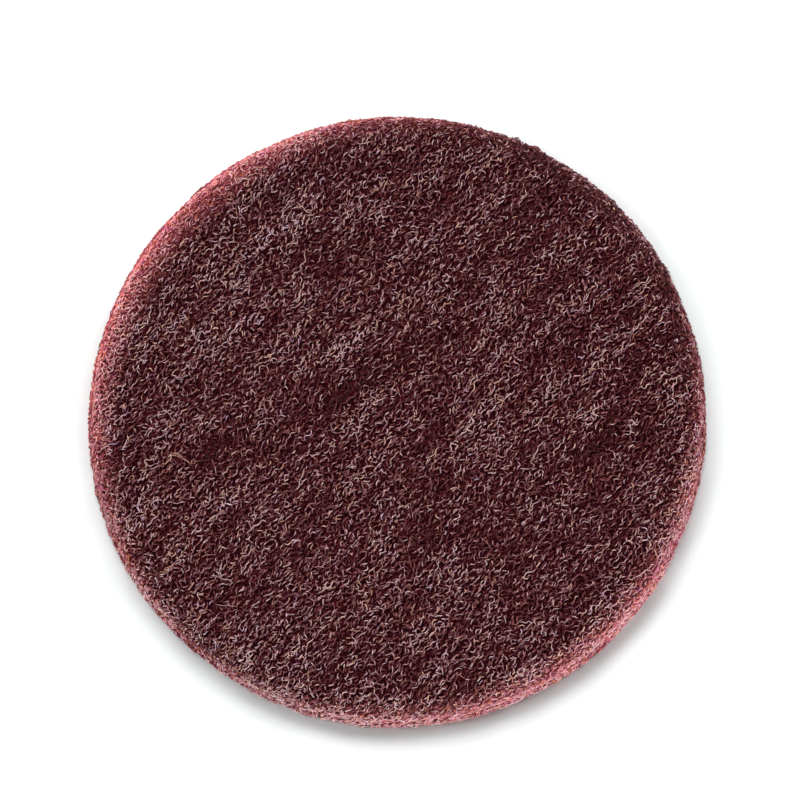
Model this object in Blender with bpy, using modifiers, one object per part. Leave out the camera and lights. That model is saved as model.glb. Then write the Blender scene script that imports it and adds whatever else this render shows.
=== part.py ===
"""A maroon non-woven abrasive disc: one round pad, die-cut from a thick web of bonded fibres.

Metres, +Z up. The origin is the centre of the flat back face, which takes a hook backing pad or lies
on a bench. The working face looks up along +Z, and the web's fibres run along the lay, LAY_DEG from +X.
"""

import math

import bpy
from mathutils import Vector, noise

# Overall size of the pad
DIAMETER = 0.150
THICKNESS = 0.0080

# Die-cut edge: the cutter pulls the working face down, and the side leans out towards the back
SHOULDER_WIDTH = 0.0065
SHOULDER_DROP = 0.0046
SIDE_LEAN = 0.0010
FOOT_ROUND = 0.0005

# Outline: how far the cut edge wanders in and out, and over what length of edge
EDGE_WANDER = 0.0003
EDGE_WANDER_LENGTH = 0.010

# Working face: furrows and ridges of the web, drawn out along the lay
LAY_DEG = 50.0
FURROW_DEPTH = 0.0009
FURROW_PITCH = 0.0085
FURROW_LENGTH = 0.022
BROAD_SHARE = 0.7
FINE_SHARE = 0.4
FINE_TIMES = 2.0

# Single tufts that stand up and hollows that sink in: share of the radius, bearing and direction in
# degrees, length and width of the mark, and height (below zero for a hollow)
FACE_MARKS = (
    (0.28, 130.0, 38.0, 0.017, 0.0030, 0.0008),
    (0.19, 146.0, 45.0, 0.013, 0.0035, -0.0008),
    (0.28, 357.0, 34.0, 0.013, 0.0030, 0.0006),
    (0.62, 209.0, 30.0, 0.017, 0.0026, 0.0006),
    (0.72, 120.0, 50.0, 0.012, 0.0050, 0.0006),
    (0.60, 186.0, 48.0, 0.013, 0.0050, -0.0007),
    (0.87, 54.0, 50.0, 0.012, 0.0040, -0.0006),
    (0.65, 82.0, 52.0, 0.014, 0.0045, -0.0006),
    (0.60, 120.0, 48.0, 0.012, 0.0045, -0.0006),
    (0.66, 350.0, 50.0, 0.015, 0.0050, -0.0006),
)

# Fineness of the mesh
STEPS_ROUND = 144
FACE_RING_PITCH = 0.0034
SHOULDER_RINGS = 6
FOOT_RINGS = 2
MERGE = 0.00001
SHARP_DEG = 50.0

# Where in the noise field the web is cut from
NOISE_CUT = 4.7

# The web's colour, roughness and metallic value
MAROON = (0.105, 0.042, 0.046, 1.0)
WEB_ROUGHNESS = 0.85
WEB_METALLIC = 0.0


def clear_scene():
    """Remove whatever the file opened with."""
    for old in list(bpy.data.objects):
        bpy.data.objects.remove(old, do_unlink=True)


def make_collection(name):
    """A collection in the scene for the disc."""
    collection = bpy.data.collections.new(name)
    bpy.context.scene.collection.children.link(collection)
    return collection


def make_web_material():
    """Matt maroon resin and grit on nylon fibres."""
    material = bpy.data.materials.new("maroon_web")
    material.use_nodes = True
    shader = material.node_tree.nodes["Principled BSDF"]
    shader.inputs["Base Color"].default_value = MAROON
    shader.inputs["Roughness"].default_value = WEB_ROUGHNESS
    shader.inputs["Metallic"].default_value = WEB_METALLIC
    return material


def quarter_ellipse(centre, across, up, start_deg, rings):
    """Points round a quarter of an ellipse, clockwise from start_deg, without its first point."""
    points = []
    for ring in range(1, rings + 1):
        angle = math.radians(start_deg - 90.0 * ring / rings)
        points.append((centre[0] + across * math.cos(angle), centre[1] + up * math.sin(angle)))
    return points


def pad_profile():
    """Half section of the pad as (radius, height), from the middle of the face down to the back."""
    radius = DIAMETER / 2.0
    edge_top = radius - SIDE_LEAN
    shoulder_start = edge_top - SHOULDER_WIDTH
    rings = max(2, round(shoulder_start / FACE_RING_PITCH))
    face = [(shoulder_start * ring / rings, THICKNESS) for ring in range(rings + 1)]
    shoulder = quarter_ellipse(
        (shoulder_start, THICKNESS - SHOULDER_DROP), SHOULDER_WIDTH, SHOULDER_DROP, 90.0, SHOULDER_RINGS
    )
    side_middle = ((edge_top + radius) / 2.0, (THICKNESS - SHOULDER_DROP + FOOT_ROUND) / 2.0)
    foot_top = (radius, FOOT_ROUND)
    foot = quarter_ellipse((radius - FOOT_ROUND, FOOT_ROUND), FOOT_ROUND, FOOT_ROUND, 0.0, FOOT_RINGS)
    return [*face, *shoulder, side_middle, foot_top, *foot, (0.0, 0.0)]


def turn_profile(name, profile, collection):
    """Turn the half section round the Z axis with a Screw modifier."""
    mesh = bpy.data.meshes.new(name + "_profile")
    points = [(radius, 0.0, height) for radius, height in profile]
    mesh.from_pydata(points, [(i, i + 1) for i in range(len(points) - 1)], [])
    turned = bpy.data.objects.new(name + "_profile", mesh)
    collection.objects.link(turned)
    screw = turned.modifiers.new("turn", "SCREW")
    screw.axis = "Z"
    screw.angle = math.tau
    screw.screw_offset = 0.0
    screw.steps = STEPS_ROUND
    screw.render_steps = STEPS_ROUND
    screw.use_merge_vertices = True
    screw.merge_threshold = MERGE
    return turned


def solid_from(turned, name, collection):
    """The turned shape as a plain mesh object, with the profile taken away."""
    view = bpy.context.evaluated_depsgraph_get()
    mesh = bpy.data.meshes.new_from_object(turned.evaluated_get(view))
    mesh.name = name
    solid = bpy.data.objects.new(name, mesh)
    collection.objects.link(solid)
    bpy.data.objects.remove(turned, do_unlink=True)
    return solid


def turned_by(x, y, degrees):
    """A place as (distance along, distance across) a direction in the plane of the disc."""
    angle = math.radians(degrees)
    along = x * math.cos(angle) + y * math.sin(angle)
    across = y * math.cos(angle) - x * math.sin(angle)
    return along, across


def furrow_height(x, y):
    """Rise of the web's furrows at a place: broad ones, with finer ones on them."""
    along, across = turned_by(x, y, LAY_DEG)
    lengths, pitches = along / FURROW_LENGTH, across / FURROW_PITCH
    broad = noise.noise(Vector((lengths, pitches, NOISE_CUT)))
    fine = noise.noise(Vector((FINE_TIMES * lengths, FINE_TIMES * pitches, -NOISE_CUT)))
    return FURROW_DEPTH * (BROAD_SHARE * broad + FINE_SHARE * fine)


def mark_height(x, y):
    """Rise of the single tufts and hollows at a place."""
    height = 0.0
    for share, bearing, direction, length, width, rise in FACE_MARKS:
        bearing_rad = math.radians(bearing)
        away = share * DIAMETER / 2.0
        along, across = turned_by(
            x - away * math.cos(bearing_rad), y - away * math.sin(bearing_rad), direction
        )
        height += rise * math.exp(-((2.0 * along / length) ** 2) - (2.0 * across / width) ** 2)
    return height


def edge_shift(x, y):
    """How far the cut edge stands out, or in, on the bearing of a place."""
    spot = Vector((x, y, 0.0)).normalized() * (DIAMETER / 2.0 / EDGE_WANDER_LENGTH)
    return EDGE_WANDER * noise.noise(spot + Vector((0.0, 0.0, NOISE_CUT)))


def rough_up(solid):
    """Give the face its furrows and the edge its wander, and leave the back flat."""
    for vertex in solid.data.vertices:
        x, y, z = vertex.co
        radius = math.hypot(x, y)
        edge_share = max(0.0, radius - DIAMETER / 2.0 + SHOULDER_WIDTH) / SHOULDER_WIDTH
        if radius > 0.0:
            grow = 1.0 + min(1.0, edge_share) * edge_shift(x, y) / radius
            vertex.co.x, vertex.co.y = x * grow, y * grow
        above_back = max(0.0, z - FOOT_ROUND) / (THICKNESS - FOOT_ROUND)
        vertex.co.z += above_back * (furrow_height(x, y) + mark_height(x, y))


def build_disc():
    """Model the disc as one closed solid in its own collection."""
    collection = make_collection("non_woven_abrasive_disc")
    turned = turn_profile("abrasive_disc", pad_profile(), collection)
    disc = solid_from(turned, "abrasive_disc", collection)
    rough_up(disc)
    disc.data.shade_smooth()
    disc.data.set_sharp_from_angle(angle=math.radians(SHARP_DEG))
    disc.data.materials.append(make_web_material())
    return disc


clear_scene()
build_disc()
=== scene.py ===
"""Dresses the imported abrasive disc: a matted maroon web, and the crimped fibres that lie on it.

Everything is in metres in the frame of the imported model, with the disc lying on z = 0 and its working
face up. The web's own solid stays as the form. A rougher copy of it stands in for it, and beds of
modelled fibres cover that copy on the face, round the die-cut edge and on the back.
"""

from __future__ import annotations

import logging
import math
from dataclasses import dataclass
from enum import Enum

import bpy
import numpy as np
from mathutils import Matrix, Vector, noise
from mathutils.bvhtree import BVHTree


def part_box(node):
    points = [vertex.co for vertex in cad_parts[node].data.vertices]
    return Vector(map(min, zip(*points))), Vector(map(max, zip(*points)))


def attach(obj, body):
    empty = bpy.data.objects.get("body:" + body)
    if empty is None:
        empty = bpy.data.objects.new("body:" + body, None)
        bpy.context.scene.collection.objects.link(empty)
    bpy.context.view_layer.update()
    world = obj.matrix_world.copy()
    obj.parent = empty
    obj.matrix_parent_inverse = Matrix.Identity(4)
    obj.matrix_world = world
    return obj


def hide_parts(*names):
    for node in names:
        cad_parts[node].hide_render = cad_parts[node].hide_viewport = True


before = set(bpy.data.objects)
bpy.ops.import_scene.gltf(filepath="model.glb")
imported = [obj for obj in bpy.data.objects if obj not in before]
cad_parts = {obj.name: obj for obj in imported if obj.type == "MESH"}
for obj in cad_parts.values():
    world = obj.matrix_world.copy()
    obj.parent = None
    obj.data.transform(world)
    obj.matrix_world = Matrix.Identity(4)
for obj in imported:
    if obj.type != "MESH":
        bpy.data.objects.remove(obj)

LOG = logging.getLogger("abrasive_disc")
NODE = "abrasive_disc"
BODY = "root"
BAKE_MAP = "OFBake"
TONE = "fibre_tone"
MM = 0.001
WHITE = (1.0, 1.0, 1.0, 1.0)

# Each fibre is a tube with this many sides. Its ridge faces away from the web and gets a painted
# highlight, and its flanks get painted shade. On the bake map its cell has a margin all round.
SIDES = 3
RIDGE_HIGHLIGHT = 0.16
FLANK_SHADE = -0.20
CELL_MARGIN = 0.06
TINY = 1e-12

Array = np.ndarray


class Bed(Enum):
    """The side of the disc that a bed of fibres lies on."""

    FACE = "face"
    EDGE = "edge"
    BACK = "back"


@dataclass(frozen=True)
class DiscSize:
    """Sizes of the disc, read from the frame."""

    radius: float
    thickness: float
    lay_deg: float = 50.0
    shoulder_width: float = 6.5 * MM
    shoulder_drop: float = 4.6 * MM
    side_lean: float = 1.0 * MM
    arc_over_circle: float = 1.02

    @classmethod
    def from_frame(cls) -> DiscSize:
        """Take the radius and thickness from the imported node's box."""
        low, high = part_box(NODE)
        return cls(radius=(high.x - low.x) / 2.0, thickness=high.z - low.z)

    @property
    def flat_radius(self) -> float:
        """Radius of the flat of the face, inside the rounded shoulder."""
        return self.radius - self.side_lean - self.shoulder_width

    @property
    def shoulder_run(self) -> float:
        """Length of the shoulder's curve, a quarter of an ellipse, from the flat to the side."""
        circle = math.pi / 4.0 * (self.shoulder_width + self.shoulder_drop)
        return circle * self.arc_over_circle

    @property
    def side_height(self) -> float:
        """Height of the side under the shoulder."""
        return self.thickness - self.shoulder_drop

    @property
    def reach(self) -> float:
        """Distance from the middle of the face, over the shoulder, to the foot."""
        return self.flat_radius + self.shoulder_run + self.side_height

    def draped(self, plane: Array) -> Array:
        """Lay places of a flat sheet over the disc's face, shoulder and side.

        Args:
            plane: Places on the sheet, with two numbers on the last axis.

        Returns:
            The places in space.
        """
        out = np.hypot(plane[..., 0], plane[..., 1])
        bearing = np.arctan2(plane[..., 1], plane[..., 0])
        past = np.clip(out - self.flat_radius, 0.0, None)
        turn = np.clip(past / self.shoulder_run, 0.0, 1.0) * math.pi / 2.0
        down = np.clip(past - self.shoulder_run, 0.0, self.side_height)
        radius = np.minimum(out, self.flat_radius) + self.shoulder_width * np.sin(turn)
        radius = radius + self.side_lean * down / self.side_height
        height = self.thickness - self.shoulder_drop * (1.0 - np.cos(turn)) - down
        return np.stack([radius * np.cos(bearing), radius * np.sin(bearing), height], axis=-1)


def smooth_step(value: Array, low: float, high: float) -> Array:
    """Rise from 0 to 1 between two limits.

    Args:
        value: The numbers to map.
        low: Where the rise starts.
        high: Where it ends.

    Returns:
        The share, from 0 to 1, for each number.
    """
    share = np.clip((value - low) / (high - low), 0.0, 1.0)
    return share * share * (3.0 - 2.0 * share)


def noise_at(points: Array, scale: float, cut: float) -> Array:
    """Smooth noise at many places.

    Args:
        points: Places, with three numbers on the last axis.
        scale: Size of the noise's lumps.
        cut: Where in the noise field the web is cut from.

    Returns:
        One number, about -1 to 1, for each place.
    """
    flat = points.reshape(-1, 3) / scale + cut
    return np.array([noise.noise(Vector(p)) for p in flat.tolist()]).reshape(points.shape[:-1])


def along_lay(points: Array, lay_deg: float, stretch: float) -> Array:
    """Places squeezed along the lay, so that noise read there is drawn out along it.

    Args:
        points: Places, with three numbers on the last axis.
        lay_deg: Bearing of the lay.
        stretch: How many times longer than wide the lumps are.

    Returns:
        The squeezed places.
    """
    angle = math.radians(lay_deg)
    along = points[..., 0] * math.cos(angle) + points[..., 1] * math.sin(angle)
    across = points[..., 1] * math.cos(angle) - points[..., 0] * math.sin(angle)
    return np.stack([along / stretch, across, points[..., 2]], axis=-1)


@dataclass(frozen=True)
class Lumps:
    """Noise in lumps of one size, drawn out along the lay."""

    amount: float
    size: float
    stretch: float
    cut: float

    def at(self, points: Array, lay_deg: float) -> Array:
        """What the lumps add at some places, about -amount to amount."""
        return self.amount * noise_at(along_lay(points, lay_deg, self.stretch), self.size, self.cut)


class NodeTree:
    """A small helper that adds and links shader nodes."""

    def __init__(self, tree: bpy.types.NodeTree) -> None:
        """Keep the tree that nodes go in."""
        self.tree = tree

    def add(self, kind: str, links: dict | None = None, **settings: object) -> bpy.types.Node:
        """Add a node.

        Args:
            kind: The node's type name, without "ShaderNode".
            links: Input name or number to a value or to another node's output.
            **settings: Properties of the node.

        Returns:
            The new node.
        """
        node = self.tree.nodes.new("ShaderNode" + kind)
        for name, value in settings.items():
            setattr(node, name, value)
        for key, value in (links or {}).items():
            socket = node.inputs[key]
            if isinstance(value, bpy.types.NodeSocket):
                self.tree.links.new(value, socket)
            else:
                socket.default_value = value
        return node

    def math(self, operation: str, *values: object, clamp: bool = False) -> bpy.types.NodeSocket:
        """Add a Math node on numbers or outputs and give its output."""
        links = dict(enumerate(values))
        return self.add("Math", links, operation=operation, use_clamp=clamp).outputs[0]

    def vector(self, operation: str, first: object, second: object) -> bpy.types.NodeSocket:
        """Add a Vector Math node on two vectors or outputs and give its output."""
        return self.add("VectorMath", {0: first, 1: second}, operation=operation).outputs[0]

    def mix(
        self, share: object, first: object, second: object, blend: str = "MIX"
    ) -> bpy.types.NodeSocket:
        """Mix two colours and give the output."""
        links = {0: share, 6: first, 7: second}
        return self.add("Mix", links, data_type="RGBA", blend_type=blend).outputs[2]

    def ramp(self, value: object, stops: tuple[tuple[float, tuple], ...]) -> bpy.types.NodeSocket:
        """Add a colour ramp with these stops and give its colour output."""
        node = self.add("ValToRGB", {0: value})
        elements = node.color_ramp.elements
        elements[0].position, elements[0].color = stops[0]
        elements[1].position, elements[1].color = stops[-1]
        for place, colour in stops[1:-1]:
            elements.new(place).color = colour
        return node.outputs[0]


def linear(red: float, green: float, blue: float) -> tuple[float, float, float, float]:
    """A colour given as 0 to 255 on a screen, as the linear colour that shaders take."""
    shares = [value / 255.0 for value in (red, green, blue)]
    # The curve of the sRGB standard.
    spread = [s / 12.92 if s <= 0.04045 else ((s + 0.055) / 1.055) ** 2.4 for s in shares]
    return (*spread, 1.0)


@dataclass(frozen=True)
class WebColours:
    """Colours of the web, from its dark hollows to its palest fibres."""

    # black and hollow are partly the web's own dark maroon and partly painted shade of the deep gaps
    # between fibres.
    black: tuple = linear(20, 0, 4)
    hollow: tuple = linear(36, 4, 10)
    shade: tuple = linear(79, 24, 31)
    middle: tuple = linear(122, 54, 61)
    light: tuple = linear(174, 123, 127)
    pale: tuple = linear(240, 206, 206)
    warm: tuple = (0.97, 0.82, 0.57, 1.0)
    plain: tuple = (0.89, 0.88, 0.88, 1.0)
    cool: tuple = (0.81, 0.77, 0.98, 1.0)
    cut_deep: tuple = linear(116, 36, 44)
    cut_orange: tuple = linear(248, 134, 80)
    cut_salmon: tuple = linear(238, 113, 118)
    cut_rose: tuple = linear(232, 112, 166)
    cut_pale: tuple = linear(255, 196, 198)
    cut_gap: tuple = linear(94, 30, 36)
    cut_thread: tuple = linear(184, 98, 102)


class GritGroup:
    """Fine abrasive grain on resin, as a group that gives a mask and a height."""

    DETAIL = 2.0
    CONTRAST = 3.0

    def __init__(self) -> None:
        """Build the group once."""
        self.group = bpy.data.node_groups.new("grit", "ShaderNodeTree")
        face = self.group.interface
        face.new_socket("Grain", in_out="INPUT", socket_type="NodeSocketFloat")
        face.new_socket("Mask", in_out="OUTPUT", socket_type="NodeSocketFloat")
        face.new_socket("Height", in_out="OUTPUT", socket_type="NodeSocketFloat")
        net = NodeTree(self.group)
        given = self.group.nodes.new("NodeGroupInput")
        result = self.group.nodes.new("NodeGroupOutput")
        place = net.add("TexCoord").outputs["Object"]
        scale = given.outputs["Grain"]
        grain = net.add("TexNoise", {"Vector": place, "Scale": scale, "Detail": self.DETAIL})
        middle = (1.0 - self.CONTRAST) / 2.0
        mask = net.math("MULTIPLY_ADD", grain.outputs[0], self.CONTRAST, middle, clamp=True)
        self.group.links.new(mask, result.inputs["Mask"])
        self.group.links.new(grain.outputs[0], result.inputs["Height"])

    def place(self, net: NodeTree, grain: float) -> bpy.types.Node:
        """Put the group in a material with its own grain."""
        node = net.add("Group", node_tree=self.group)
        node.inputs["Grain"].default_value = grain
        return node


@dataclass(frozen=True)
class FibreFinish:
    """Finish of the modelled fibres: resin and grit over nylon, read from the tone attribute."""

    colours: WebColours
    grain: float = 2600.0
    speckle: float = 0.28
    roughness: float = 0.45
    specular: float = 0.2

    def build(self, grit: GritGroup) -> bpy.types.Material:
        """Make the material.

        Args:
            grit: The grain group.

        Returns:
            The material, which reads tone, hue and cut share from the fibres.
        """
        material = bpy.data.materials.new("crimped_fibre")
        material.use_nodes = True
        net = NodeTree(material.node_tree)
        shader = material.node_tree.nodes["Principled BSDF"]
        c = self.colours
        # The tone holds the fibres' own tone together with painted highlights and painted shade.
        tone = net.add("Attribute", attribute_name=TONE, attribute_type="GEOMETRY")
        parts = net.add("SeparateColor", {0: tone.outputs["Color"]}).outputs
        grain = grit.place(net, self.grain)
        speckle = net.math("MULTIPLY_ADD", grain.outputs["Mask"], self.speckle, -self.speckle / 2.0)
        level = net.math("ADD", parts[0], speckle, clamp=True)
        stops = ((0.0, c.hollow), (0.25, c.shade), (0.5, c.middle), (0.75, c.light), (1.0, c.pale))
        web = net.ramp(level, stops)
        tint = net.ramp(parts[1], ((0.0, c.warm), (0.5, c.plain), (1.0, c.cool)))
        tinted = net.mix(1.0, web, tint, blend="MULTIPLY")
        hues = net.ramp(parts[1], ((0.0, c.cut_orange), (0.5, c.cut_salmon), (1.0, c.cut_rose)))
        # A cut fibre goes from deep to its own hue in the lower half of the tones, then to pale.
        lower = net.math("MULTIPLY", level, 2.0, clamp=True)
        upper = net.math("MULTIPLY_ADD", level, 2.0, -1.0, clamp=True)
        cut = net.mix(upper, net.mix(lower, c.cut_deep, hues), c.cut_pale)
        colour = net.mix(parts[2], tinted, cut)
        material.node_tree.links.new(colour, shader.inputs["Base Color"])
        shader.inputs["Roughness"].default_value = self.roughness
        shader.inputs["Specular IOR Level"].default_value = self.specular
        return material


@dataclass(frozen=True)
class MattedFinish:
    """Finish of the matted web under the fibres: dark hollows between fine crossing threads, their
    near-black partly the web's own dark maroon and partly painted shade of the deep gaps.
    """

    colours: WebColours
    size: DiscSize
    thread: float = 0.8 * MM
    sharpness: float = 9.0
    second_turn_deg: float = 34.0
    second_cut: float = 3.1
    warp_scale: float = 0.6
    along_squeeze: float = 0.45
    grain: float = 5000.0
    least_level: float = 0.6
    grain_level: float = 0.5
    hollow_at: float = 0.43
    shade_at: float = 0.78
    grain_height: float = 0.3
    bump_strength: float = 0.8
    bump_depth: float = 0.3 * MM
    roughness: float = 0.9
    specular: float = 0.03

    def build(self, grit: GritGroup) -> bpy.types.Material:
        """Make the material.

        Args:
            grit: The grain group.

        Returns:
            The material.
        """
        material = bpy.data.materials.new("matted_web")
        material.use_nodes = True
        net = NodeTree(material.node_tree)
        shader = material.node_tree.nodes["Principled BSDF"]
        c = self.colours
        first = self.threads(net, 0.0, 0.0)
        second = self.threads(net, self.second_turn_deg, self.second_cut)
        both = net.math("MAXIMUM", first, second)
        grain = grit.place(net, self.grain)
        mask = grain.outputs["Mask"]
        gritty = net.math("MULTIPLY_ADD", mask, self.grain_level, self.least_level)
        level = net.math("MULTIPLY", both, gritty)
        # The near-black between the threads is partly painted shade of the deep gaps.
        dark = ((0.0, c.black), (self.hollow_at, c.hollow))
        web = net.ramp(level, (*dark, (self.shade_at, c.shade), (1.0, c.middle)))
        tone = net.add("Attribute", attribute_name=TONE, attribute_type="GEOMETRY")
        parts = net.add("SeparateColor", {0: tone.outputs["Color"]}).outputs
        cut = net.mix(level, c.cut_gap, c.cut_thread)
        colour = net.mix(parts[2], web, cut)
        material.node_tree.links.new(colour, shader.inputs["Base Color"])
        height = net.math("MULTIPLY_ADD", grain.outputs["Height"], self.grain_height, level)
        bump = net.add(
            "Bump", {"Height": height, "Strength": self.bump_strength, "Distance": self.bump_depth}
        )
        material.node_tree.links.new(bump.outputs[0], shader.inputs["Normal"])
        shader.inputs["Roughness"].default_value = self.roughness
        shader.inputs["Specular IOR Level"].default_value = self.specular
        return material

    def threads(self, net: NodeTree, turn_deg: float, cut: float) -> bpy.types.NodeSocket:
        """A net of fine crooked threads.

        Args:
            net: The material's nodes.
            turn_deg: How far these threads are turned from the lay.
            cut: Shift of the pattern, so that two nets differ.

        Returns:
            A mask that is 1 on a thread and 0 between threads.
        """
        place = net.add("TexCoord").outputs["Object"]
        turn = math.radians(self.size.lay_deg + turn_deg)
        move = {"Vector": place, "Location": (cut, cut, cut), "Rotation": (0.0, 0.0, -turn)}
        turned = net.add("Mapping", move).outputs[0]
        scale = self.warp_scale / self.thread
        warp = net.add("TexNoise", {"Vector": turned, "Scale": scale, "Detail": 1.0}).outputs[1]
        shift = net.vector("MULTIPLY", warp, (self.thread,) * 3)
        bent = net.vector("ADD", turned, shift)
        drawn = net.vector("MULTIPLY", bent, (self.along_squeeze, 1.0, 1.0))
        cells = net.add(
            "TexVoronoi", {"Vector": drawn, "Scale": 1.0 / self.thread}, feature="DISTANCE_TO_EDGE"
        )
        fall = net.math("MULTIPLY", cells.outputs[0], self.sharpness)
        return net.math("SUBTRACT", 1.0, fall, clamp=True)


@dataclass(frozen=True)
class Bulge:
    """A stretch of the cut edge that stands out, or in, as the photograph shows it."""

    bearing_deg: float
    width: float
    height: float

    def rise(self, bearing_deg: Array, radius: float) -> Array:
        """How far the edge stands out at some bearings in degrees, on a disc of this radius."""
        off = (bearing_deg - self.bearing_deg + 180.0) % 360.0 - 180.0
        return self.height * np.exp(-((2.0 * np.radians(off) * radius / self.width) ** 2))


@dataclass(frozen=True)
class CutEdge:
    """Where the fibres show their pale cut ends and sides at the die-cut edge.

    The first fields say how wide the pale band is and how steeply it rises, the next ones how pale it
    gets on each side, and the last ones which rings lose tone and where the edge stands out or in.
    """

    size: DiscSize
    inner_share: float = 0.957
    wider_beside: float = 0.068
    wider_left: float = 0.0175
    outer_share: float = 0.985
    power: float = 2.2
    ease_beside: float = 0.8
    ease_left: float = 0.5
    by_side: float = 0.4
    by_lee: float = 0.8
    lee_deg: float = -70.0
    lee_power: float = 4.0
    by_left: float = 0.6
    left_deg: float = 158.0
    end_shade: float = 0.3
    end_ring: tuple[float, float] = (0.9, 0.96)
    # Painted shade on the left's outer ring, where the side faces the lamps.
    left_shade: float = 0.85
    left_ring: tuple[float, float] = (0.975, 0.995)
    bulge_start: float = 2.5 * MM
    bulge_full: float = 1.2 * MM
    bulges: tuple[Bulge, ...] = (
        Bulge(66.8, 2.2 * MM, 0.6 * MM),
        Bulge(62.8, 2.2 * MM, 0.6 * MM),
        Bulge(-100.0, 36.0 * MM, 0.35 * MM),
        Bulge(40.0, 26.0 * MM, 0.3 * MM),
        Bulge(120.0, 14.0 * MM, 0.25 * MM),
        Bulge(-158.0, 60.0 * MM, 0.18 * MM),
        Bulge(-130.0, 14.0 * MM, -0.2 * MM),
        Bulge(90.0, 14.0 * MM, -0.12 * MM),
        Bulge(136.0, 20.0 * MM, -0.15 * MM),
        Bulge(-63.0, 24.0 * MM, -0.15 * MM),
        Bulge(-3.0, 22.0 * MM, -0.12 * MM),
    )

    def share(self, points: Array) -> Array:
        """How pale the web is at some places.

        The band shows on both sides where the edge runs along the lay, so that fibres lie along the
        cut. It is palest round the lee, which is the lower side, and round the left. At the upper end
        of the lay, where fibre ends face out, there is next to none.

        Args:
            points: Places, with three numbers on the last axis.

        Returns:
            A share from 0 to 1 for each place.
        """
        return self.rise(points) * self.strength(points)

    def off_lay(self, points: Array) -> Array:
        """Bearing of each place, counted from the upper end of the lay."""
        return np.arctan2(points[..., 1], points[..., 0]) - math.radians(self.size.lay_deg)

    def rise(self, points: Array) -> Array:
        """Share from 0 on the face to 1 at the outline, later and steeper at the ends of the lay."""
        out = np.hypot(points[..., 0], points[..., 1]) / self.size.radius
        left = np.sin(self.off_lay(points))
        inner = self.inner_share - self.wider_beside * np.abs(left) - self.wider_left * left
        power = self.power - self.ease_beside * np.abs(left) - self.ease_left * left
        return np.clip((out - inner) / (self.outer_share - inner), 0.0, 1.0) ** power

    def strength(self, points: Array) -> Array:
        """How pale the outline gets on the bearing of each place."""
        bearing = np.arctan2(points[..., 1], points[..., 0])
        beside = np.abs(np.sin(self.off_lay(points))) ** 3
        lee = (0.5 + 0.5 * np.cos(bearing - math.radians(self.lee_deg))) ** self.lee_power
        left = np.clip(np.cos(bearing - math.radians(self.left_deg)), 0.0, 1.0)
        return np.clip(self.by_side * beside + self.by_lee * lee + self.by_left * left, 0.0, 1.0)

    def bulge_rise(self, points: Array) -> Array:
        """How far the bulges push fibres out at some places on the outline."""
        out = np.hypot(points[..., 0], points[..., 1])
        bearing_deg = np.degrees(np.arctan2(points[..., 1], points[..., 0]))
        radius = self.size.radius
        near = smooth_step(out, radius - self.bulge_start, radius - self.bulge_full)
        return near * sum(bulge.rise(bearing_deg, radius) for bulge in self.bulges)

    def darkening(self, points: Array) -> Array:
        """Tone that the outline loses at the upper end of the lay, and painted shade on its outer ring
        on the left.
        """
        out = np.hypot(points[..., 0], points[..., 1]) / self.size.radius
        left = np.clip(np.sin(self.off_lay(points)), 0.0, 1.0) ** 3
        plain = (1.0 - self.strength(points)) ** 3
        upper_end = self.end_shade * smooth_step(out, *self.end_ring) * plain
        # The left's outer ring gets painted shade.
        return -upper_end - self.left_shade * left * smooth_step(out, *self.left_ring)


@dataclass(frozen=True)
class FaceMark:
    """A tuft or hollow of the face, as the photograph shows it."""

    out_share: float
    bearing_deg: float
    direction_deg: float
    length: float
    width: float
    # tone: partly painted light and shade of the relief; tufts are painted paler and hollows darker.
    tone: float

    def share(self, points: Array, radius: float) -> Array:
        """How strongly the mark shows at some places, from 0 to 1.

        Args:
            points: Places, with three numbers on the last axis.
            radius: Radius of the disc.

        Returns:
            A share for each place.
        """
        bearing, direction = math.radians(self.bearing_deg), math.radians(self.direction_deg)
        x = points[..., 0] - self.out_share * radius * math.cos(bearing)
        y = points[..., 1] - self.out_share * radius * math.sin(bearing)
        along = x * math.cos(direction) + y * math.sin(direction)
        across = y * math.cos(direction) - x * math.sin(direction)
        return np.exp(-((2.0 * along / self.length) ** 2) - (2.0 * across / self.width) ** 2)


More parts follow.
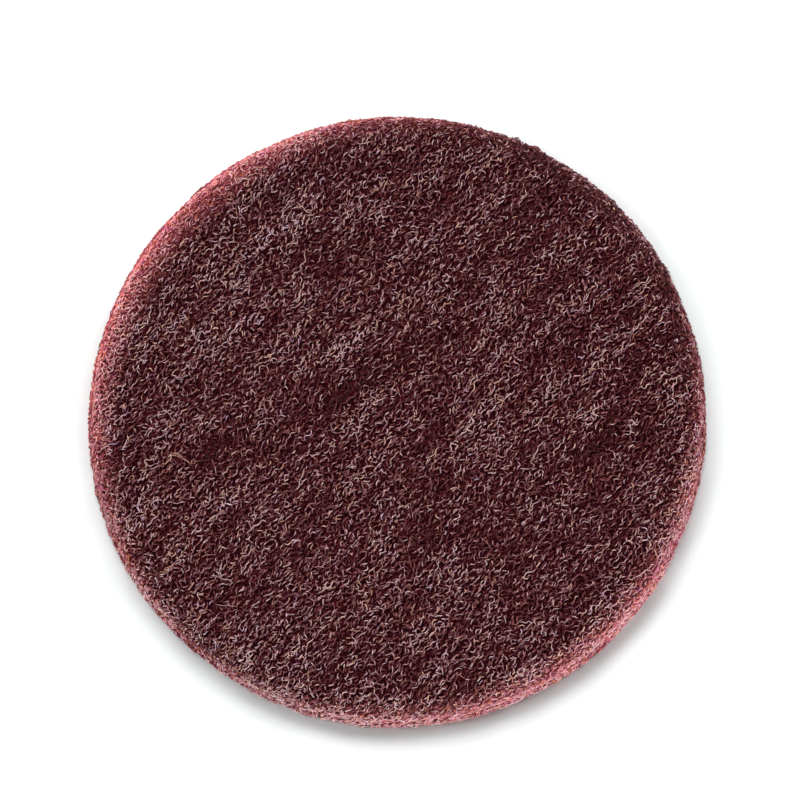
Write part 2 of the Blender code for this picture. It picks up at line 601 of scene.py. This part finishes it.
@dataclass(frozen=True)
class Patches:
    """Paler and darker patches of the web, drawn out along the lay, with the single marks on them, and
    painted light that makes the face paler toward the left.
    """

    size: DiscSize
    # lean: painted light, the face paler toward the left.
    lean: float = 0.03
    lumps: tuple[Lumps, ...] = (
        Lumps(0.26, 2.2 * MM, stretch=4.5, cut=3.7),
        Lumps(0.225, 5.0 * MM, stretch=2.2, cut=9.1),
        Lumps(0.065, 17.0 * MM, stretch=1.6, cut=5.3),
    )
    marks: tuple[FaceMark, ...] = (
        FaceMark(0.28, 130.0, 38.0, 17.0 * MM, 3.4 * MM, 0.48),
        FaceMark(0.18, 160.0, 42.0, 18.0 * MM, 5.4 * MM, -0.36),
        FaceMark(0.26, 357.0, 34.0, 15.0 * MM, 4.6 * MM, 0.34),
        FaceMark(0.19, 12.0, 45.0, 14.0 * MM, 7.0 * MM, 0.12),
        FaceMark(0.62, 209.0, 30.0, 17.0 * MM, 3.0 * MM, 0.26),
        FaceMark(0.72, 120.0, 50.0, 12.0 * MM, 5.0 * MM, 0.24),
        FaceMark(0.60, 192.0, 48.0, 16.0 * MM, 8.0 * MM, -0.38),
        FaceMark(0.87, 54.0, 50.0, 12.0 * MM, 4.0 * MM, -0.22),
        FaceMark(0.65, 78.0, 52.0, 15.0 * MM, 5.5 * MM, -0.26),
        FaceMark(0.60, 120.0, 48.0, 12.0 * MM, 4.5 * MM, -0.22),
        FaceMark(0.66, 350.0, 50.0, 15.0 * MM, 5.0 * MM, -0.22),
        FaceMark(0.45, 342.0, 50.0, 16.0 * MM, 7.0 * MM, -0.22),
        FaceMark(0.62, 24.0, 50.0, 14.0 * MM, 6.0 * MM, -0.10),
        FaceMark(0.27, 335.0, 45.0, 22.0 * MM, 9.0 * MM, 0.14),
        FaceMark(0.40, 180.0, 45.0, 16.0 * MM, 9.0 * MM, 0.14),
        FaceMark(0.45, 243.0, 45.0, 16.0 * MM, 9.0 * MM, 0.12),
        FaceMark(0.82, 285.0, 50.0, 24.0 * MM, 10.0 * MM, 0.10),
    )

    def tone(self, points: Array) -> Array:
        """Tone to add at some places.

        Args:
            points: Places, with three numbers on the last axis.

        Returns:
            A tone for each place, about -0.4 to 0.4.
        """
        tone = sum(lumps.at(points, self.size.lay_deg) for lumps in self.lumps)
        # Painted light: the tone rises toward the left.
        tone = tone - self.lean * points[..., 0] / self.size.radius
        # The marks' tones are partly painted light on tufts and painted shade in hollows.
        for mark in self.marks:
            tone = tone + mark.tone * mark.share(points, self.size.radius)
        return tone


@dataclass
class MattedWeb:
    """The pad under the fibres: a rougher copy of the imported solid."""

    size: DiscSize
    cut: CutEdge
    name: str = "matted_web"
    weld: float = 0.02 * MM
    back_lift: float = 0.35 * MM
    roundness: float = 0.9
    lumps: Lumps = Lumps(0.35 * MM, 3.5 * MM, stretch=2.4, cut=2.3)

    def build(self) -> bpy.types.Object:
        """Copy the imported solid, refine it and roughen it.

        Returns:
            The finished pad.
        """
        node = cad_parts[NODE]
        pad = bpy.data.objects.new(self.name, node.data.copy())
        pad.data.materials.clear()
        bpy.context.scene.collection.objects.link(pad)
        bpy.ops.object.select_all(action="DESELECT")
        bpy.context.view_layer.objects.active = pad
        pad.select_set(True)
        bpy.ops.object.mode_set(mode="EDIT")
        bpy.ops.mesh.select_all(action="SELECT")
        bpy.ops.mesh.remove_doubles(threshold=self.weld)
        bpy.ops.mesh.tris_convert_to_quads()
        bpy.ops.mesh.subdivide(number_cuts=1, smoothness=self.roundness)
        bpy.ops.mesh.normals_make_consistent(inside=False)
        bpy.ops.object.mode_set(mode="OBJECT")
        self.roughen(pad)
        bpy.ops.object.shade_smooth()
        return pad

    def roughen(self, pad: bpy.types.Object) -> None:
        """Push the surface in and out in lumps, and hold the back up off the floor."""
        mesh = pad.data
        points = np.empty(len(mesh.vertices) * 3)
        mesh.vertices.foreach_get("co", points)
        points = points.reshape(-1, 3)
        normals = np.array([v.normal for v in mesh.vertices])
        points += normals * self.lumps.at(points, self.size.lay_deg)[:, None]
        points[:, 2] = np.maximum(points[:, 2], self.back_lift)
        mesh.vertices.foreach_set("co", points.ravel())
        tone = mesh.attributes.new(TONE, "FLOAT_COLOR", "POINT")
        values = np.zeros((len(points), 4))
        values[:, 2] = self.cut.share(points)
        values[:, 3] = 1.0
        tone.data.foreach_set("color", values.ravel())
        mesh.update()


@dataclass(frozen=True)
class Spiral:
    """Even places on a round side, shared out in turn between beds that have the same start."""

    start: float = 0.0
    member: int = 0
    members: int = 1
    scatter: float = 0.3

    def places(self, draw: np.random.Generator, inner: float, outer: float, n: int) -> Array:
        """The places of one bed.

        Args:
            draw: The source of random numbers.
            inner: Inner radius of the ring that is filled.
            outer: Outer radius.
            n: How many places the bed has.

        Returns:
            The places, as (place, 2).
        """
        order = np.arange(n) * self.members + self.member
        area = (outer**2 - inner**2) / (n * self.members)
        out = np.sqrt(inner**2 + area * (order + 0.5))
        turn = order * math.pi * (3.0 - math.sqrt(5.0)) + self.start
        spots = np.stack([out * np.cos(turn), out * np.sin(turn)], axis=-1)
        return spots + draw.normal(0.0, self.scatter * math.sqrt(math.pi * area), (n, 2))


@dataclass(frozen=True)
class ToneMix:
    """How much each thing changes the tone, hue and cut share of fibres."""

    own_shape: float = 1.6
    own_scale: float = 0.6
    lift: float = 0.02
    # Painted light and shade by height: raised points of a fibre are painted paler, sunken ones darker.
    height_light_shade: float = 0.25
    full_height: float = 0.4 * MM
    height_span: tuple[float, float] = (-0.8, 1.2)
    # Painted shade at the ends, where a fibre dives into the web.
    dive_end_shade: float = 0.2
    hue_spread: float = 0.24
    hue_flecks: float = 0.12
    pale_spread: float = 0.18
    pale_span: tuple[float, float] = (0.4, 1.25)
    pale_lift: float = 0.10


@dataclass
class FibreBed:
    """A bed of crimped fibres laid on one side of the web, as one piece of many thin closed tubes."""

    name: str
    bed: Bed
    count: int
    seed: int
    spiral: Spiral
    segments: int = 5
    length: tuple[float, float] = (1.2 * MM, 2.5 * MM)
    thickness: tuple[float, float] = (0.13 * MM, 0.19 * MM)
    wave: tuple[float, float] = (1.8 * MM, 3.4 * MM)
    crimp: tuple[float, float] = (0.3, 1.2)
    second_crimp: float = 0.45
    second_rate: float = 0.53
    bend: float = 0.5
    spread_deg: float = 20.0
    strays: float = 0.08
    mottle: float = 0.11
    height: tuple[float, float] = (0.0, 0.35 * MM)
    bob: float = 0.12 * MM
    bob_rate: float = 0.71
    dive: float = 0.5 * MM
    taper: float = 0.35
    floor_gap: float = 1.1
    edge_inset: float = 1.5 * MM
    back_reach: float = 0.996
    tone: tuple[float, float] = (0.28, 0.18)
    mix: ToneMix = ToneMix()

    def build(
        self, size: DiscSize, cut: CutEdge, patches: Patches, ground: BVHTree
    ) -> bpy.types.Object:
        """Lay the fibres and make their mesh.

        Args:
            size: The disc's sizes.
            cut: The pale cut edge.
            patches: The web's paler and darker patches.
            ground: The matted web's surface.

        Returns:
            The bed as one object.
        """
        draw = np.random.default_rng(self.seed)
        plane, height = self.centrelines(draw, size)
        foot, normal = self.seat(plane, size, ground)
        height = height + cut.bulge_rise(foot)
        thick = self.thicknesses(draw, height.shape)
        spine = foot + normal * height[..., None]
        spine[..., 2] = np.maximum(spine[..., 2], thick * self.floor_gap)
        tones = self.tones(draw, spine, height, cut, patches)
        return tube_object(self.name, spine, thick, normal, tones)

    def centrelines(self, draw: np.random.Generator, size: DiscSize) -> tuple[Array, Array]:
        """Draw each fibre as a crooked line in the plane of its side, with a height above it.

        Args:
            draw: The source of random numbers.
            size: The disc's sizes.

        Returns:
            The places in the plane, as (fibre, point, 2), and the heights, as (fibre, point).
        """
        n, k = self.count, self.segments
        step = np.linspace(0.0, 1.0, k + 1)
        length = draw.uniform(*self.length, n)[:, None]
        wave = draw.uniform(*self.wave, n)[:, None]
        crimp = draw.uniform(*self.crimp, n)[:, None]
        phase = draw.uniform(0.0, math.tau, (n, 3))
        bend = draw.normal(0.0, self.bend, n)[:, None]
        spots = self.middles(draw, size, n)
        start = self.headings(draw, size, spots)[:, None]
        turn = math.tau * step * length / wave
        heading = start + bend * (step - 0.5) + crimp * np.sin(turn + phase[:, :1])
        second = np.sin(self.second_rate * turn + phase[:, 1:2])
        heading = heading + self.second_crimp * crimp * second
        middle = (heading[:, 1:] + heading[:, :-1]) / 2.0
        moves = np.stack([np.cos(middle), np.sin(middle)], axis=-1) * (length / k)[..., None]
        line = np.concatenate([np.zeros((n, 1, 2)), np.cumsum(moves, axis=1)], axis=1)
        line -= line.mean(axis=1, keepdims=True)
        rise = draw.uniform(*self.height, n)[:, None]
        rise = rise + self.bob * np.sin(self.bob_rate * turn + phase[:, 2:3])
        ends = (2.0 * np.abs(step - 0.5)) ** 4
        return spots[:, None, :] + line, rise - self.dive * ends

    def headings(self, draw: np.random.Generator, size: DiscSize, spots: Array) -> Array:
        """Start direction of each fibre, round the edge or along the lay, but for a few strays."""
        n = len(spots)
        around = np.arctan2(spots[:, 1], spots[:, 0]) + math.pi / 2.0
        main = around if self.bed is Bed.EDGE else math.radians(size.lay_deg)
        base = main + draw.normal(0.0, math.radians(self.spread_deg), n)
        return np.where(draw.random(n) < self.strays, draw.uniform(0.0, math.pi, n), base)

    def middles(self, draw: np.random.Generator, size: DiscSize, n: int) -> Array:
        """Middle of each fibre on its side laid flat, spread evenly with some scatter."""
        inner = (size.flat_radius + self.edge_inset) if self.bed is Bed.EDGE else 0.0
        outer = size.radius if self.bed is Bed.BACK else size.reach
        return self.spiral.places(draw, inner, outer, n)

    def seat(self, plane: Array, size: DiscSize, ground: BVHTree) -> tuple[Array, Array]:
        """Find where each point of the centrelines sits on the web.

        A fibre that would pass the foot of the side, or the rim of the back, is moved inward.

        Args:
            plane: The places in the plane of this side.
            size: The disc's sizes.
            ground: The matted web's surface.

        Returns:
            The places on the surface, and its normals there.
        """
        out = np.hypot(plane[..., 0], plane[..., 1])
        limit = size.radius * self.back_reach if self.bed is Bed.BACK else size.reach
        over = np.clip(out.max(axis=1) - limit, 0.0, None)
        middle = plane.mean(axis=1)
        inward = middle / np.linalg.norm(middle, axis=-1, keepdims=True) * over[:, None]
        held = plane - inward[:, None, :]
        flat = np.concatenate([held, np.zeros((*held.shape[:2], 1))], axis=-1)
        aim = flat if self.bed is Bed.BACK else size.draped(held)
        found = [ground.find_nearest(p)[:2] for p in aim.reshape(-1, 3).tolist()]
        foot = np.array([place[:] for place, _ in found]).reshape(aim.shape)
        normal = np.array([facing[:] for _, facing in found]).reshape(aim.shape)
        return foot, smoothed_along(normal)

    def thicknesses(self, draw: np.random.Generator, shape: tuple[int, int]) -> Array:
        """Radius of the fibres at each point, a little thinner towards their ends."""
        n, points = shape
        step = np.linspace(0.0, 1.0, points)
        taper = 1.0 - self.taper * (2.0 * np.abs(step - 0.5)) ** 3
        return draw.uniform(*self.thickness, n)[:, None] * taper

    def tones(
        self,
        draw: np.random.Generator,
        spine: Array,
        height: Array,
        cut: CutEdge,
        patches: Patches,
    ) -> Array:
        """Tone, hue and cut share at each point.

        Args:
            draw: The source of random numbers.
            spine: The centrelines in space.
            height: How far each point stands above the web.
            cut: The pale cut edge.
            patches: The web's paler and darker patches.

        Returns:
            Three numbers from 0 to 1 for each point.
        """
        n, points = height.shape
        mix = self.mix
        mean, spread = self.tone
        off_mean = draw.gamma(mix.own_shape, mix.own_scale, n) - mix.own_shape * mix.own_scale
        raised = np.clip(height / mix.full_height, *mix.height_span)
        # Raised points get painted light and sunken points painted shade.
        tone = (mean + spread * off_mean)[:, None] + mix.height_light_shade * raised + patches.tone(spine)
        tone = tone + draw.normal(0.0, self.mottle, height.shape)
        # The ends, where the fibres dive into the web, get painted shade.
        ends = (2.0 * np.abs(np.linspace(-0.5, 0.5, points))) ** 2
        tone = tone + mix.lift - mix.dive_end_shade * ends
        hue = draw.normal(0.5, mix.hue_spread, (n, 1))
        hue = np.clip(hue + draw.normal(0.0, mix.hue_flecks, height.shape), 0.0, 1.0)
        paleness = np.clip(draw.normal(1.0, mix.pale_spread, n), *mix.pale_span)
        pale = cut.share(spine) * paleness[:, None]
        tone = tone + mix.pale_lift * np.clip(pale, 0.0, 1.0) + cut.darkening(spine)
        return np.clip(np.stack([tone, hue, pale], axis=-1), 0.0, 1.0)


def smoothed_along(vectors: Array) -> Array:
    """Directions averaged with their neighbours along each fibre, as unit vectors."""
    padded = np.concatenate([vectors[:, :1], vectors, vectors[:, -1:]], axis=1)
    mean = padded[:, :-2] + 2.0 * padded[:, 1:-1] + padded[:, 2:]
    return mean / np.linalg.norm(mean, axis=-1, keepdims=True)


def tube_object(
    name: str, spine: Array, thick: Array, normal: Array, tones: Array
) -> bpy.types.Object:
    """Make three-sided closed tubes round many centrelines, each running out to a tip at both ends.

    The first corner of each ring faces away from the web and gets a painted highlight, and the other
    two get painted shade.

    Args:
        name: Name of the object.
        spine: Centrelines, as (fibre, point, 3).
        thick: Radius at each point.
        normal: The way that faces away from the web at each point.
        tones: Tone, hue and cut share at each point.

    Returns:
        The object, with a tone attribute and its own bake map.
    """
    along = np.gradient(spine, axis=1)
    along /= np.maximum(np.linalg.norm(along, axis=-1, keepdims=True), TINY)
    side = np.cross(along, normal)
    side /= np.maximum(np.linalg.norm(side, axis=-1, keepdims=True), TINY)
    away = np.cross(side, along)
    turns = np.arange(SIDES) * math.tau / SIDES
    ring = [spine + thick[..., None] * (math.cos(t) * away + math.sin(t) * side) for t in turns]
    verts = with_tips(spine, np.stack(ring, axis=2))
    shades = np.repeat(tones[:, :, None, :], SIDES, axis=2)
    # Painted highlight on the ridge corner, painted shade on the flank corners.
    shades[:, :, 0, 0] += RIDGE_HIGHLIGHT
    shades[:, :, 1:, 0] += FLANK_SHADE
    mesh = bpy.data.meshes.new(name)
    fill_mesh(mesh, verts)
    tone = mesh.attributes.new(TONE, "FLOAT_COLOR", "POINT")
    values = np.ones((verts.shape[0] * verts.shape[1], 4))
    values[:, :3] = np.clip(with_tips(tones, shades).reshape(-1, 3), 0.0, 1.0)
    tone.data.foreach_set("color", values.ravel())
    piece = bpy.data.objects.new(name, mesh)
    bpy.context.scene.collection.objects.link(piece)
    return piece


def with_tips(lines: Array, rings: Array) -> Array:
    """Put both tips of each fibre before the rings of three between them.

    Args:
        lines: Values along each fibre, as (fibre, point, value).
        rings: Values round each fibre, as (fibre, point, 3, value).

    Returns:
        The values in the order of the fibres' vertices, as (fibre, vertex, value).
    """
    inner = rings[:, 1:-1].reshape(len(rings), -1, rings.shape[-1])
    return np.concatenate([lines[:, :1], lines[:, -1:], inner], axis=1)


def fill_mesh(mesh: bpy.types.Mesh, verts: Array) -> None:
    """Give a mesh its tubes' vertices, faces and bake map.

    Args:
        mesh: The empty mesh.
        verts: Vertices of each tube, its two tips first, as (fibre, vertex, 3).
    """
    n, each = verts.shape[:2]
    rings = (each - 2) // SIDES
    here, after = np.arange(SIDES), (np.arange(SIDES) + 1) % SIDES
    first = 2 + SIDES * np.arange(rings - 1)[:, None]
    following = first + SIDES
    quad = np.stack([first + here, first + after, following + after, following + here], axis=-1)
    last = 2 + SIDES * (rings - 1)
    low = np.stack([0 * here, 2 + after, 2 + here], axis=-1)
    high = np.stack([last + here, last + after, 1 + 0 * here], axis=-1)
    start = np.arange(n)[:, None] * each
    quads = (start + quad.reshape(1, -1)).ravel()
    tips = (start + np.concatenate([low, high]).reshape(1, -1)).ravel()
    n_quads, n_tips = len(quads) // 4, len(tips) // 3
    mesh.vertices.add(n * each)
    mesh.vertices.foreach_set("co", verts.ravel())
    mesh.loops.add(len(quads) + len(tips))
    mesh.loops.foreach_set("vertex_index", np.concatenate([quads, tips]).astype(np.int32))
    mesh.polygons.add(n_quads + n_tips)
    starts = np.concatenate([np.arange(n_quads) * 4, n_quads * 4 + np.arange(n_tips) * 3])
    mesh.polygons.foreach_set("loop_start", starts.astype(np.int32))
    mesh.polygons.foreach_set("use_smooth", np.ones(n_quads + n_tips, bool))
    mesh.update(calc_edges=True)
    bake_map = mesh.uv_layers.new(name=BAKE_MAP)
    bake_map.data.foreach_set("uv", bake_places(n, rings).ravel())
    mesh.validate()


def corners(along: tuple[object, ...], around: tuple[Array, ...]) -> Array:
    """Corners of faces on a tube laid out flat.

    Args:
        along: Steps along the tube of the first corner of each face, the second and so on.
        around: Steps round the tube of the same corners.

    Returns:
        A place for each corner of each face, in the faces' order.
    """
    pairs = [np.stack(np.broadcast_arrays(u, v), axis=-1) for u, v in zip(along, around)]
    return np.stack(pairs, axis=-2).reshape(-1, 2)


def bake_places(n: int, rings: int) -> Array:
    """Places on the bake map: each fibre has a cell of its own, laid out flat in it.

    Args:
        n: How many tubes there are.
        rings: How many rings of three each tube has between its tips.

    Returns:
        A place for each corner of each face.
    """
    across = math.ceil(math.sqrt(n))
    cell = np.stack([np.arange(n) % across, np.arange(n) // across], axis=-1) / across
    turn = np.arange(float(SIDES))
    step = np.arange(1.0, rings)[:, None]
    quads = corners((step, step, step + 1.0, step + 1.0), (turn, turn + 1.0, turn + 1.0, turn))
    low = corners((0.0, 1.0, 1.0), (turn + 0.5, turn + 1.0, turn))
    high = corners((rings, rings, rings + 1.0), (turn, turn + 1.0, turn + 0.5))
    places = []
    for strip in (quads, np.concatenate([low, high])):
        inside = CELL_MARGIN + (1.0 - 2.0 * CELL_MARGIN) * strip / [rings + 1.0, SIDES]
        places.append((cell[:, None, :] + inside / across).reshape(-1, 2))
    return np.concatenate(places)


@dataclass(frozen=True)
class Lamp:
    """A broad soft light from one side."""

    name: str
    bearing_deg: float
    height_deg: float
    width_deg: float
    strength: float
    red: float = 1.0

    def build(self) -> None:
        """Add the lamp, shining on the disc from its bearing and height."""
        data = bpy.data.lights.new(self.name, "SUN")
        data.energy = self.strength
        data.color = (self.red, 1.0, 1.0)
        data.angle = math.radians(self.width_deg)
        lamp = bpy.data.objects.new(self.name, data)
        bpy.context.scene.collection.objects.link(lamp)
        bearing, height = math.radians(self.bearing_deg), math.radians(self.height_deg)
        level = math.cos(height)
        toward = Vector((level * math.cos(bearing), level * math.sin(bearing), math.sin(height)))
        lamp.rotation_euler = toward.to_track_quat("Z", "Y").to_euler()
        lamp.location = toward


@dataclass
class Studio:
    """Plain floor, soft light and the camera at the photograph's angle."""

    tilt_deg: float = 10.0
    azimuth_deg: float = 15.0
    lens_mm: float = 180.0
    sensor_mm: float = 36.0
    view_width: float = 0.1945
    aim: tuple[float, float, float] = (0.00095, 0.00388, 0.004)
    clip_ratio: float = 100.0
    floor_width: float = 4.0
    floor_colour: tuple[float, float, float, float] = (0.83, 0.84, 0.84, 1.0)
    floor_lift: float = 0.03
    sky_strength: float = 0.05
    sky: tuple[float, float, float, float] = (0.75, 1.0, 1.0, 1.0)
    lamps: tuple[Lamp, ...] = (
        Lamp("right_key", bearing_deg=48.0, height_deg=41.5, width_deg=24.0, strength=1.15),
        Lamp("middle_key", bearing_deg=92.0, height_deg=41.5, width_deg=24.0, strength=1.75),
        Lamp("upper_left_key", bearing_deg=122.0, height_deg=41.5, width_deg=24.0, strength=1.45),
        Lamp("left_key", bearing_deg=166.0, height_deg=41.5, width_deg=24.0, strength=1.05),
        Lamp("low_fill", bearing_deg=-70.0, height_deg=3.0, width_deg=6.0, strength=4.2, red=0.75),
    )

    def build(self) -> None:
        """Add the camera, the floor, the lamps and the sky."""
        self.add_camera()
        self.add_floor()
        for lamp in self.lamps:
            lamp.build()
        self.add_sky()

    def add_camera(self) -> None:
        """Look down on the disc with +Y to the top of the picture."""
        data = bpy.data.cameras.new("camera")
        data.lens = self.lens_mm
        data.sensor_width = self.sensor_mm
        distance = self.view_width * self.lens_mm / self.sensor_mm
        data.clip_start, data.clip_end = distance / self.clip_ratio, distance * self.clip_ratio
        camera = bpy.data.objects.new("camera", data)
        bpy.context.scene.collection.objects.link(camera)
        tilt, turn = math.radians(self.tilt_deg), math.radians(self.azimuth_deg)
        lean = math.sin(tilt)
        back = Vector((lean * math.sin(turn), -lean * math.cos(turn), math.cos(tilt)))
        right = Vector((0.0, 1.0, 0.0)).cross(back).normalized()
        up = back.cross(right)
        camera.location = Vector(self.aim) + back * distance
        turned = camera.matrix_world.to_3x3()
        turned.col[0], turned.col[1], turned.col[2] = right, up, back
        camera.rotation_euler = turned.to_euler()
        bpy.context.scene.camera = camera

    def add_floor(self) -> None:
        """A plain pale floor that is white in the picture and keeps the shadow."""
        bpy.ops.mesh.primitive_plane_add(size=self.floor_width, location=(0.0, 0.0, 0.0))
        floor = bpy.context.active_object
        floor.name = "floor"
        material = bpy.data.materials.new("pale_floor")
        material.use_nodes = True
        net = NodeTree(material.node_tree)
        shader = material.node_tree.nodes["Principled BSDF"]
        shader.inputs["Base Color"].default_value = self.floor_colour
        shader.inputs["Roughness"].default_value = 1.0
        shader.inputs["Specular IOR Level"].default_value = 0.0
        shader.inputs["Emission Color"].default_value = WHITE
        # The lift is only for the camera, so that it lights nothing.
        seen = net.add("LightPath").outputs["Is Camera Ray"]
        lift = net.math("MULTIPLY", seen, self.floor_lift)
        material.node_tree.links.new(lift, shader.inputs["Emission Strength"])
        floor.data.materials.append(material)

    def add_sky(self) -> None:
        """Even light from all round, white where the camera sees it."""
        world = bpy.data.worlds.new("studio")
        world.use_nodes = True
        bpy.context.scene.world = world
        net = NodeTree(world.node_tree)
        back = world.node_tree.nodes["Background"]
        seen = net.add("LightPath").outputs
        shown = net.math("MAXIMUM", seen["Is Camera Ray"], seen["Is Glossy Ray"])
        world.node_tree.links.new(net.mix(shown, self.sky, WHITE), back.inputs["Color"])
        level = net.math("MULTIPLY_ADD", shown, 1.0 - self.sky_strength, self.sky_strength)
        world.node_tree.links.new(level, back.inputs["Strength"])


def fibre_beds() -> list[FibreBed]:
    """The beds of fibres, from the deepest on the face to those on the back."""
    # The face beds get darker tones the deeper they lie: painted shade of their depth in the web.
    return [
        FibreBed(
            "face_fibres_deep", Bed.FACE, 8200, 11, spiral=Spiral(1.0, 0, 2), segments=4,
            height=(-0.12 * MM, 0.08 * MM), tone=(0.36, 0.16),
        ),
        FibreBed(
            "face_fibres_lower", Bed.FACE, 8200, 12, spiral=Spiral(1.0, 1, 2), segments=4,
            height=(0.0, 0.2 * MM), tone=(0.40, 0.18),
        ),
        FibreBed(
            "face_fibres_upper", Bed.FACE, 8200, 13, spiral=Spiral(2.0, 0, 2),
            height=(0.12 * MM, 0.3 * MM), tone=(0.46, 0.22),
        ),
        FibreBed(
            "face_fibres_top", Bed.FACE, 8200, 17, spiral=Spiral(2.0, 1, 2),
            height=(0.2 * MM, 0.4 * MM), tone=(0.50, 0.26),
        ),
        FibreBed(
            "face_fibres_loose", Bed.FACE, 600, 14, spiral=Spiral(3.0), segments=13,
            height=(0.25 * MM, 0.45 * MM), length=(4.0 * MM, 7.5 * MM), tone=(0.50, 0.24),
            thickness=(0.12 * MM, 0.16 * MM),
        ),
        FibreBed(
            "edge_fibres", Bed.EDGE, 5000, 15, spiral=Spiral(4.0), segments=4,
            height=(0.0, 0.36 * MM), spread_deg=50.0, length=(1.1 * MM, 2.2 * MM),
            thickness=(0.14 * MM, 0.2 * MM), tone=(0.42, 0.34), mottle=0.18,
        ),
        FibreBed(
            "back_fibres", Bed.BACK, 3600, 16, spiral=Spiral(5.0), segments=4,
            height=(0.0, 0.2 * MM), tone=(0.38, 0.2),
        ),
    ]


def finish_piece(piece: bpy.types.Object, material: bpy.types.Material) -> None:
    """Dress a piece with its material, and tie it to the disc's body."""
    piece.data.materials.append(material)
    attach(piece, BODY)
    LOG.info("%s: %d faces", piece.name, len(piece.data.polygons))


def main() -> None:
    """Build the disc's pieces in order, then the studio."""
    logging.basicConfig(level=logging.INFO, format="%(message)s")
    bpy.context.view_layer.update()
    size = DiscSize.from_frame()
    colours = WebColours()
    cut = CutEdge(size)
    grit = GritGroup()
    web = MattedWeb(size, cut).build()
    finish_piece(web, MattedFinish(colours, size).build(grit))
    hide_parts(NODE)
    ground = BVHTree.FromObject(web, bpy.context.evaluated_depsgraph_get())
    fibre = FibreFinish(colours).build(grit)
    patches = Patches(size)
    for bed in fibre_beds():
        finish_piece(bed.build(size, cut, patches, ground), fibre)
    Studio().build()
    bpy.context.scene.view_settings.view_transform = "Standard"
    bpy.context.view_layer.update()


if __name__ == "__main__":
    main()
